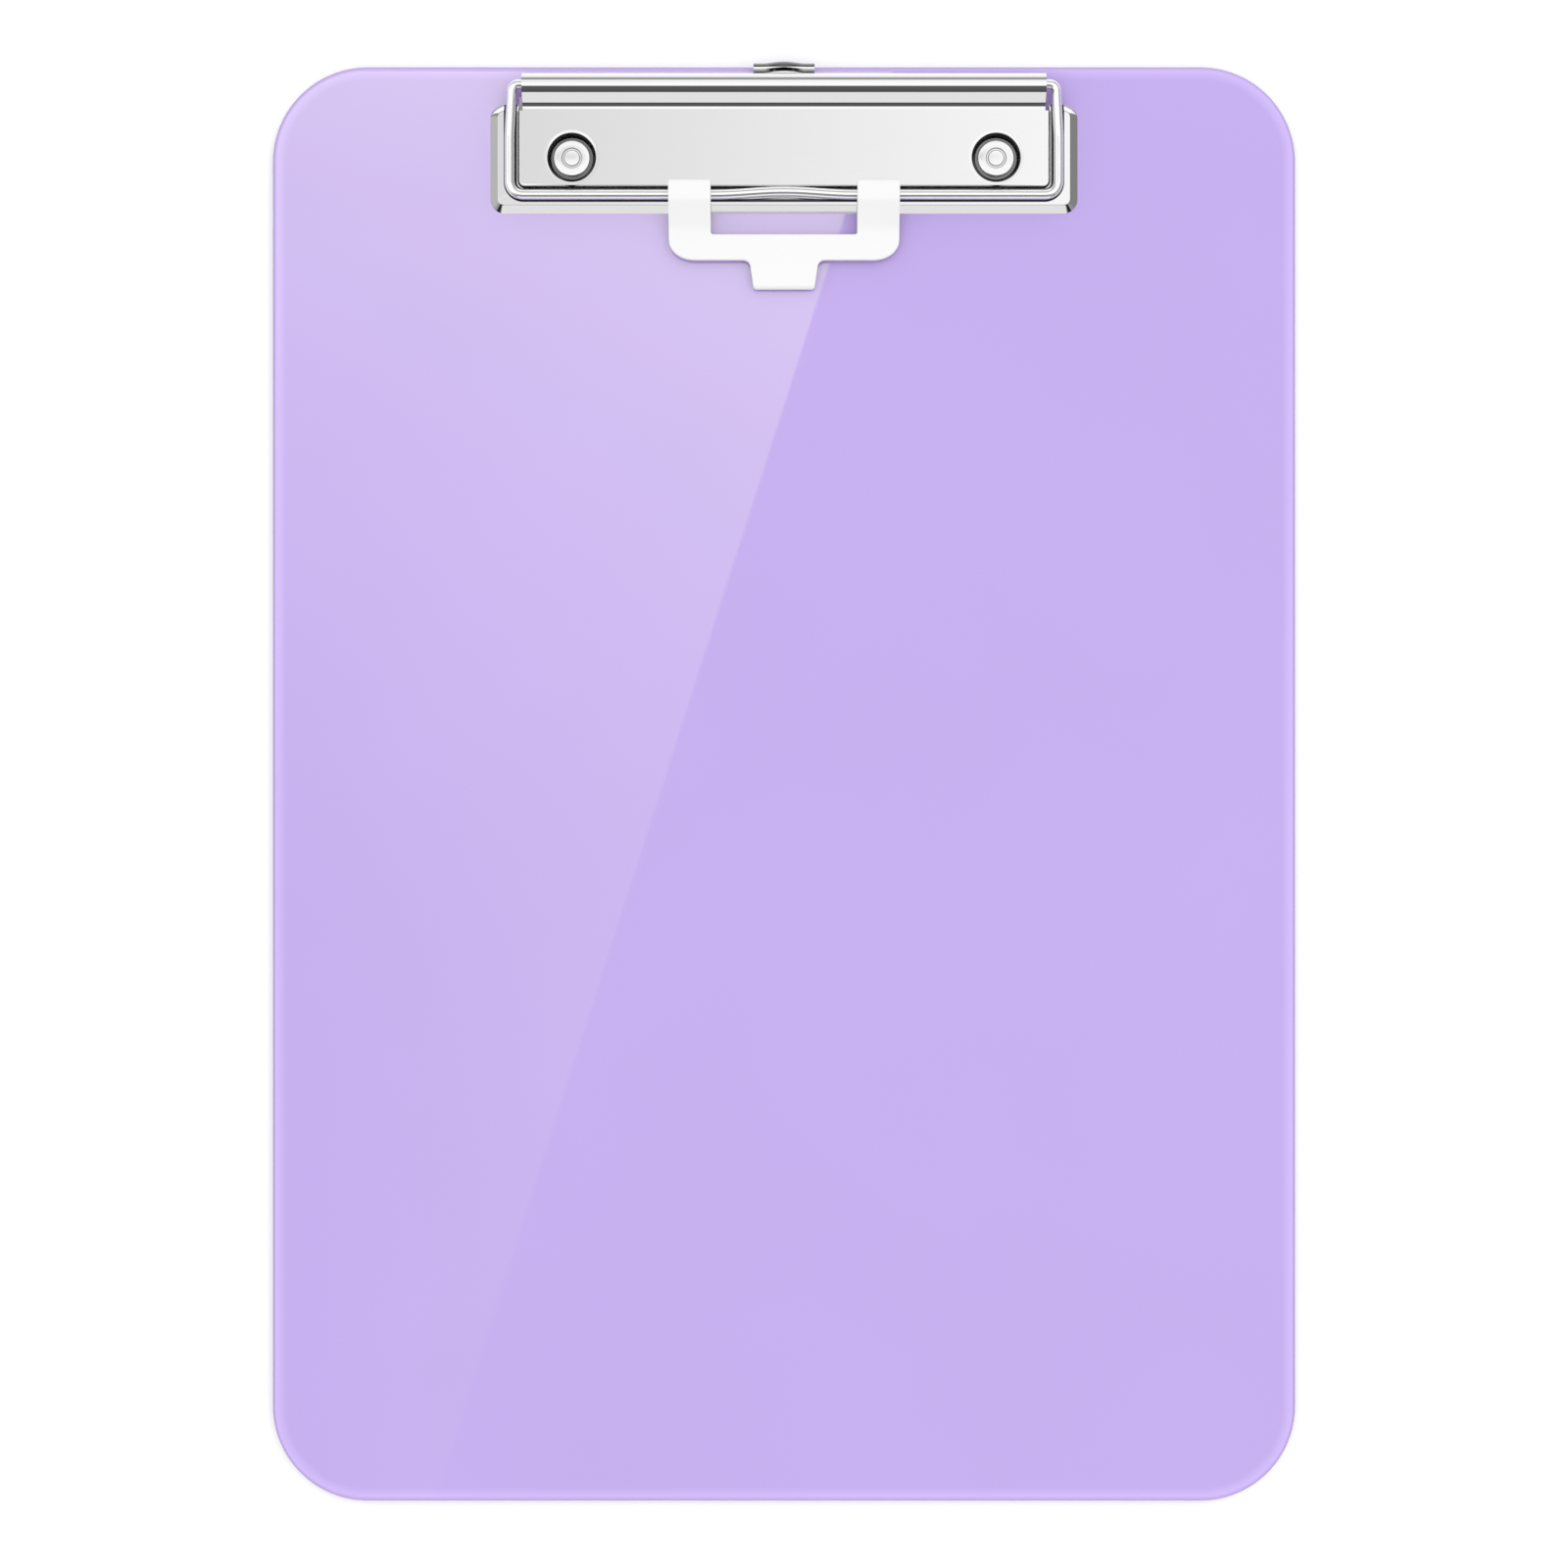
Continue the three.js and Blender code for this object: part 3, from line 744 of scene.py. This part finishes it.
def tab_plan():
    """The tab from above: two arms, a cross bar with large outer corners, and a stem."""
    over = 0.02                  # the plan reaches past the side's ends, which then cut it
    front, rear = TAB_TIP - over, TAB_REAR + over
    root, tip = TAB_STEM
    corner, fillet = TAB_TIP_CORNER, TAB_FILLET
    run, rise = TAB_CORNER
    right = [(0, front)]
    right += arc(tip - corner, front + corner, corner, -90, 0, 6)
    right += arc(root + fillet, TAB_BAR - fillet, fillet, 180, 90, 10)
    right += [(TAB_HALF - run + run * x, TAB_BAR + rise + rise * y) for x, y in arc(0, 0, 1, -90, 0, 16)]
    right += [(TAB_HALF, rear), (TAB_ARM, rear), (TAB_ARM, TAB_WINDOW), (0, TAB_WINDOW)]
    return right + [(-x, y) for x, y in reversed(right[1:-1])]


def tab_side():
    """The tab from the side, as (y, z): a hook over the wire and a blade that drops low over the board."""
    bore = WIRE_R + HOOK_GAP
    front_low = WIRE_Z - WIRE_R
    top = rounded([(TAB_REAR, WIRE_Z + HOOK_JAW, 0), (TAB_REAR, TAB_TOP, 0), (WIRE_FRONT - 1.4, TAB_TOP, 0),
                   (TAB_WINDOW + 1.2, 5.6, 0), (TAB_BAR + 2.6, 5.05, 0), (TAB_BAR - 1.2, 5.25, 0),
                   (TAB_TIP, 4.9, 0), (TAB_TIP, TAB_UNDER + 0.2, 0), (TAB_TIP + 1.0, TAB_UNDER, 0)],
                  [0.9, 3.0, 6.0, 6.0, 8.0, 1.0, 0.1], 8)
    low = [(TAB_WINDOW + 0.3, TAB_UNDER), (PLATE_FRONT - 0.3, front_low)]
    jaw = math.degrees(math.atan2(-WIRE_R, -math.sqrt(bore ** 2 - WIRE_R ** 2))) + 360
    throat = arc(WIRE_FRONT, WIRE_Z, bore, jaw, HOOK_END, 32)
    return [(p.x, p.y) for p in top] + low + throat


def prism(name, outline, to_point, low, high):
    """An outline made solid between two values of its third axis."""
    shell = Shell()
    rings = [[to_point(a, b, c) for a, b in outline] for c in (low, high)]
    shell.loft(rings, closed=True)
    flat = [Vector((a, b, 0)) for a, b in outline]
    triangles = tessellate_polygon([flat])
    for ring in rings:
        shell.add(ring, triangles)
    return shell.build(name)


def tab_piece():
    """The plan and the side profile intersected, then remeshed and relaxed so that every edge is soft."""
    piece = prism("white_pull_tab", tab_plan(), lambda a, b, c: (a, b, c), 0.0, TAB_TOP + 1)
    side = prism("tab_side", tab_side(), lambda a, b, c: (c, a, b), -TAB_HALF - 1, TAB_HALF + 1)
    common = piece.modifiers.new("common", "BOOLEAN")
    common.operation = "INTERSECT"
    common.solver = "EXACT"
    common.object = side
    voxels = piece.modifiers.new("voxels", "REMESH")
    voxels.mode = "VOXEL"
    voxels.voxel_size = 0.17 * MM
    relaxed = piece.modifiers.new("relaxed", "SMOOTH")
    relaxed.factor = 0.5
    relaxed.iterations = 10
    freeze(piece)
    bpy.data.objects.remove(side)
    piece.data.shade_smooth()
    return piece


# ------------------------------------------------------------------ the hanging tab

def tongue_plan(across, seam_y):
    """The flat of the hanging tab: a tongue with wider shoulders at its front end."""
    front, shoulder, corner = TONGUE_LOW.y, TONGUE_HIGH.x, SHOULDER_CORNER
    rear = front + SHOULDER
    plan = arc(-shoulder + corner, front + corner, corner, 180, 270, 6)
    plan += arc(shoulder - corner, front + corner, corner, 270, 360, 6)
    plan += [(shoulder, rear), (TONGUE_HALF, rear)]
    plan += [(x, seam_y) for x in reversed(across)]
    plan += [(-TONGUE_HALF, rear), (-shoulder, rear)]
    return plan


def lip_rows(across, seam, curl_y, top):
    """The rolled lip's upper face, in rows from the seam to its end."""
    inner = CURL_R - TONGUE_THICK
    curl = [(-seam, 0.0)]
    curl += [(y, z + inner) for y, z in arc(0, 0, inner, -90, CURL_END, 24)]
    rows = []
    for y, z in curl:
        share = min(max((y + seam) / seam, 0.0), 1.0)
        row = []
        for x in across:
            fullness = 0.5 + 0.5 * math.cos(math.pi * min(abs(x) / LIP_ARCH_HALF, 1.0))
            row.append((x, curl_y + y + LIP_ARCH * fullness * share, top + z))
        rows.append(row)
    return rows


def tongue_piece():
    """A flat tongue with a hole and stop shoulders, its end rolled into a lip that is fuller mid-way."""
    shell = Shell()
    top = TONGUE_LOW.z + TONGUE_THICK
    seam = 0.6                   # from the seam to the curl's lowest line
    columns = 36
    across = [TONGUE_HALF * (2 * i / columns - 1) for i in range(columns + 1)]
    curl_y = TONGUE_HIGH.y - CURL_R - LIP_ARCH
    hole = circle(0, TONGUE_HOLE_Y, TONGUE_HOLE, 48)
    shell.flat([tongue_plan(across, curl_y - seam), hole], top)
    shell.loft(lip_rows(across, seam, curl_y, top))
    piece = shell.build("steel_hanging_tab", faces_up=True)
    thicken(piece, TONGUE_THICK)
    smooth(piece, 50.0)
    return piece


# ------------------------------------------------------------------ rivets and washers

def rivet_head(top, seat):
    """From the head's middle round to the shank: a ring groove, a rounded rim and a flat underside."""
    inner, outer = RIVET_RING
    floor = top - RING_DEPTH
    corners = [(0, top, 0), (inner - RING_WALL, top, 0), (inner + RING_WALL, floor, 0),
               (outer - RING_WALL, floor, 0), (outer + RING_WALL, top, 0),
               (RIVET_HEAD, top - 0.1, 0), (RIVET_HEAD, seat, 0), (RIVET_SHANK, seat, 0)]
    return rounded(corners, [0.05, 0.05, 0.05, 0.05, 0.35, 0.08], 5)


def rivet_tail(low, seat):
    """From the head's seat down the shank, round the flared end and back up the bore."""
    corners = [(RIVET_SHANK, seat, 0), (RIVET_SHANK, low + 0.55, 0), (RIVET_FLARE, low + 0.45, 0),
               (RIVET_FLARE - 0.1, low, 0), (RIVET_BORE + 0.3, low, 0), (RIVET_BORE, low + 1.2, 0),
               (RIVET_BORE, BOARD_TOP, 0)]
    return rounded(corners, [0.25, 0.2, 0.25, 0.5, 0.5], 6)


def rivet_piece(name, side):
    """A tubular rivet with a wide low head above the plate and a flared end at the back."""
    seat = BOARD_TOP + 2 * TOUCH + SHEET
    outline = rivet_head(RIVET_HIGH.z, seat)[:-1] + rivet_tail(RIVET_LOW.z, seat)
    profile = [(p.x, p.y) for p in outline] + [(0, BOARD_TOP)]
    shell = Shell()
    shell.turn(profile, side * RIVET.x, RIVET.y, 72)
    piece = shell.build(name)
    smooth(piece, 40.0)
    return piece


def washer_piece(name, side):
    """The flat ring under a rivet's flared end."""
    radius = (WASHER_HIGH.x - WASHER_LOW.x) / 2
    low, high, bore = WASHER_LOW.z, WASHER_HIGH.z, RIVET_HOLE
    middle = (low + high) / 2
    corners = [(bore, middle, 0), (bore, high, 0), (radius, high, 0), (radius, low, 0), (bore, low, 0),
               (bore, middle, 0)]
    profile = [(p.x, p.y) for p in rounded(corners, [0.08] * 4, 4)]
    shell = Shell()
    shell.turn(profile, side * RIVET.x, RIVET.y, 64)
    piece = shell.build(name)
    smooth(piece, 50.0)
    return piece


# ------------------------------------------------------------------ the object

def build_object():
    """Makes every piece, rides it on its body and returns the board."""
    lavender, chrome = lavender_plastic(), chrome_wire()
    # Painted shade in the plate: 0.2 grey round each rivet head, 0.05 grey along the closed wire; painted
    # shadow along the hanging tab's lip.
    nickel = plated_sheet("nickel_sheet", [(painted_groove_shade_mask, 0.2), (painted_wire_shade_mask, 0.05)])
    lip = plated_sheet("nickel_hanging_tab", [(painted_lip_shadow_mask, 0.04)])
    metal, white = rivet_metal(), white_plastic()
    board = board_piece()
    place(board, "base", "board_plastic", lavender, "board")
    place(plate_piece(), "base", "plated_sheet", nickel, "base_plate")
    place(wire_piece(), "bail", "plated_wire", chrome, "wire_bail")
    place(tab_piece(), "tab", "tab_plastic", white, "pull_tab")
    place(tongue_piece(), "hanger", "plated_sheet", lip, "hanging_tab")
    for label, side in (("left", -1), ("right", 1)):
        lug = lug_piece(f"guide_lug_{label}", side)
        place(lug, "base", "plated_sheet", nickel, "base_plate")
        rivet = rivet_piece(f"tubular_rivet_{label}", side)
        place(rivet, "base", "rivet_metal", metal, f"rivet_{label}")
        washer = washer_piece(f"back_washer_{label}", side)
        place(washer, "base", "rivet_metal", metal, f"rivet_washer_{label}")
    return board


# ------------------------------------------------------------------ the studio, in metres

CAMERA_HEIGHT = 0.6              # above the board's top face
VIEW_WIDTH = 0.35                # what the picture spans at the board's top face
SENSOR = 36.0
FLOOR_HALF = 6.0
FLOOR_Z = -0.0002
FLOOR_WHITE = 0.92
KEY_SIZE = 1.1
KEY_ENERGY = 7.0
KEY_WAY = Vector((2.0, 1.8, 3.0))
KEY_DISTANCE = 3.0
CARD_HEIGHT = 0.9                # the gloss card, above the board's top face
CARD_LEFT = -0.2                 # what it covers, measured on the board
CARD_ENDS = (-0.17, 0.2)
GLOSS_X = 0.0135                 # a point that the gloss line passes, measured on the board
GLOSS_Y = 0.1265
GLOSS_LEAN = 0.32                # how far the line leans to the right for each metre towards the clip
GLOSS_LEVEL = 1.25               # its glow at the board's middle
GLOSS_RISE = 8.5                 # how steeply the glow grows towards the clip
GLOSS_FADE = 12.0                # how steeply it falls away from the line
GLOSS_COLOR = (0.87, 1.0, 0.27, 1.0)
AMBIENT = 1.25                   # the even white that lights everything
HORIZON_LEAN = (66, 68)          # the bands overhead give way to the horizon here, in degrees from up
WINDOW_FRONT = (11.2, 12.2)      # where the panel's mirrored window fades in and out, in degrees from up
WINDOW_REAR = (16.5, 18)


def camera():
    """Straight above the board's middle."""
    data = bpy.data.cameras.new("camera")
    data.sensor_width = SENSOR
    data.lens = SENSOR * CAMERA_HEIGHT / VIEW_WIDTH
    data.clip_start = 0.01
    data.clip_end = 50.0
    eye = bpy.data.objects.new("camera", data)
    bpy.context.collection.objects.link(eye)
    eye.location = (0.0, 0.0, BOARD_TOP * MM + CAMERA_HEIGHT)
    bpy.context.scene.camera = eye


def stage_sheet(name, corners, material):
    """A flat sheet through its corners."""
    mesh = bpy.data.meshes.new(name)
    mesh.from_pydata(corners, [], [tuple(range(len(corners)))])
    mesh.materials.append(material)
    sheet = bpy.data.objects.new(name, mesh)
    bpy.context.collection.objects.link(sheet)
    return sheet


def floor():
    """A plain pale floor, just below the board."""
    material, nodes = new_material("pale_floor")
    surface(nodes, Base_Color=grey(FLOOR_WHITE), Roughness=0.9)
    corners = [(x * FLOOR_HALF, y * FLOOR_HALF, FLOOR_Z) for x, y in ((-1, -1), (1, -1), (1, 1), (-1, 1))]
    ground = stage_sheet("floor", corners, material)


def key_light():
    """A softbox up to the right, behind the clip end."""
    data = bpy.data.lights.new("softbox", "AREA")
    data.shape = "DISK"
    data.size = KEY_SIZE
    data.energy = KEY_ENERGY
    light = bpy.data.objects.new("softbox", data)
    bpy.context.collection.objects.link(light)
    way = KEY_WAY.normalized()
    light.location = way * KEY_DISTANCE
    light.rotation_mode = "QUATERNION"
    light.rotation_quaternion = way.to_track_quat("Z", "Y")
    light.visible_camera = False
    light.visible_glossy = False


def gloss_line(y):
    """Where the gloss ends on the board, x for each y in metres: it leans to the right towards the clip."""
    return GLOSS_X + GLOSS_LEAN * (y - GLOSS_Y)


def gloss_material(spread):
    """Clear, with a glow that is strongest at the clip end and fades away from the gloss line."""
    material, nodes = new_material("gloss_card")
    at = nodes.new("ShaderNodeTexCoord").outputs["Object"]
    split = nodes.new("ShaderNodeSeparateXYZ", Vector=nodes.stretch(at, 1 / spread, 1 / spread, 1.0))
    x, y = split.outputs[0], split.outputs[1]
    line = nodes.math("MULTIPLY_ADD", y, GLOSS_LEAN, gloss_line(0.0))
    from_line = nodes.math("SUBTRACT", line, x)
    level = nodes.math("MULTIPLY", nodes.math("POWER", math.exp(GLOSS_RISE), y), GLOSS_LEVEL)
    level = nodes.math("MAXIMUM", nodes.math("MULTIPLY_ADD", from_line, -GLOSS_FADE, level), 0.0)
    both = nodes.new("ShaderNodeAddShader")
    nodes.set(both.inputs[0], nodes.new("ShaderNodeBsdfTransparent").outputs[0])
    glow = nodes.new("ShaderNodeEmission", Color=GLOSS_COLOR, Strength=level)
    nodes.set(both.inputs[1], glow.outputs[0])
    nodes.new("ShaderNodeOutputMaterial", Surface=both.outputs[0])
    return material


def gloss_card(board):
    """A glowing card over the board, seen only as the soft gloss across the board's upper left."""
    spread = 1 + CARD_HEIGHT / CAMERA_HEIGHT
    z = BOARD_TOP * MM + CARD_HEIGHT
    low, high = CARD_ENDS
    plan = [(CARD_LEFT, low), (gloss_line(low), low), (gloss_line(high), high), (CARD_LEFT, high)]
    corners = [(x * spread, y * spread, z) for x, y in plan]
    card = stage_sheet("gloss_card", corners, gloss_material(spread))
    card.visible_camera = False
    card.visible_diffuse = False
    card.visible_shadow = False
    receivers = bpy.data.collections.new("gloss_receivers")
    receivers.objects.link(board)
    card.light_linking.receiver_collection = receivers


def lean_ramp(nodes, along, up, pairs):
    """A grey for each lean from straight up along one axis, from (degrees, value) pairs."""
    lean = nodes.math("MULTIPLY_ADD", nodes.math("ARCTAN2", along, up), 1 / (2 * math.pi), 0.5)
    return nodes.ramp(lean, [(0.5 + degrees / 360, grey(value)) for degrees, value in pairs])


def banded_sky(nodes, x, y, z):
    """White overhead, with a dark flag in front of the clip and grey ones behind it and at its sides."""
    fore_aft = lean_ramp(nodes, y, z, [
        (-90, 0.9), (-69, 0.85), (-66, 0.07), (-40, 0.10), (-19, 0.12), (-15.5, 1.1), (26, 1.1),
        (34, 0.6), (42, 0.36), (52, 0.3), (62, 0.4), (70, 1.1)])
    sideways = lean_ramp(nodes, x, z, [
        (-90, 0.52), (-72, 0.5), (-64, 1.1), (36, 1.1), (44, 0.25), (92, 0.25)])
    width = nodes.math("ABSOLUTE", x)
    size = nodes.math("ADD", width, nodes.math("ABSOLUTE", y))
    across = nodes.math("DIVIDE", width, nodes.math("ADD", size, 0.0001))
    return nodes.mix(nodes.spread(across, 0.35, 0.65), fore_aft, sideways)


def horizon(nodes, x, y):
    """A grey for each way round: light ahead and behind, black at the front corners, grey at the sides."""
    around = nodes.math("MULTIPLY_ADD", nodes.math("ARCTAN2", x, y), 1 / (2 * math.pi), 0.5)
    return nodes.ramp(around, [(turn, grey(value)) for turn, value in (
        (0.0, 0.85), (0.06, 0.85), (0.085, 0.02), (0.125, 0.02), (0.14, 0.3), (0.2, 0.5),
        (0.3, 0.52), (0.34, 0.25), (0.42, 0.3), (0.46, 1.1), (0.54, 1.1), (0.58, 0.3),
        (0.66, 0.25), (0.7, 0.24), (0.8, 0.24), (0.86, 0.35), (0.872, 0.02), (0.915, 0.02),
        (0.94, 0.85), (1.0, 0.85))])


def panel_window(nodes, y, z):
    """1 in the narrow band a little behind straight up that the flat panel mirrors, 0 elsewhere."""
    ahead = nodes.spread(y, *(math.sin(math.radians(lean)) for lean in WINDOW_FRONT))
    behind = nodes.spread(y, *(math.sin(math.radians(lean)) for lean in WINDOW_REAR), 1.0, 0.0)
    upward = nodes.spread(z, 0.8, 0.9)
    return nodes.math("MULTIPLY", nodes.math("MULTIPLY", ahead, behind), upward)


def studio_world():
    """An even white studio. Its reflection has the dark flags that give plated metal its bands."""
    world = bpy.data.worlds.new("studio")
    bpy.context.scene.world = world
    world.use_nodes = True
    nodes = Nodes(world.node_tree)
    way = nodes.new("ShaderNodeTexCoord").outputs["Generated"]
    x, y, z = nodes.new("ShaderNodeSeparateXYZ", Vector=way).outputs
    low = nodes.spread(z, *(math.cos(math.radians(lean)) for lean in HORIZON_LEAN))
    mirrored = nodes.mix(low, banded_sky(nodes, x, y, z), horizon(nodes, x, y))
    grazing = nodes.math("MULTIPLY", nodes.spread(z, 0.13, 0.09), nodes.spread(y, 0.6, 0.8))
    mirrored = nodes.mix(grazing, mirrored, grey(0.55))
    panel_tone = lean_ramp(nodes, x, z, [(-6, 0.79), (6, 1.05)])
    mirrored = nodes.mix(panel_window(nodes, y, z), mirrored, panel_tone)
    path = nodes.new("ShaderNodeLightPath")
    color = nodes.mix(path.outputs["Is Glossy Ray"], grey(AMBIENT), mirrored)
    color = nodes.mix(path.outputs["Is Camera Ray"], color, grey(1.0))
    background = nodes.new("ShaderNodeBackground", Color=color, Strength=1.0)
    nodes.new("ShaderNodeOutputWorld", Surface=background.outputs[0])


camera()
gloss_card(build_object())
floor()
key_light()
studio_world()
bpy.context.scene.view_settings.view_transform = "Standard"
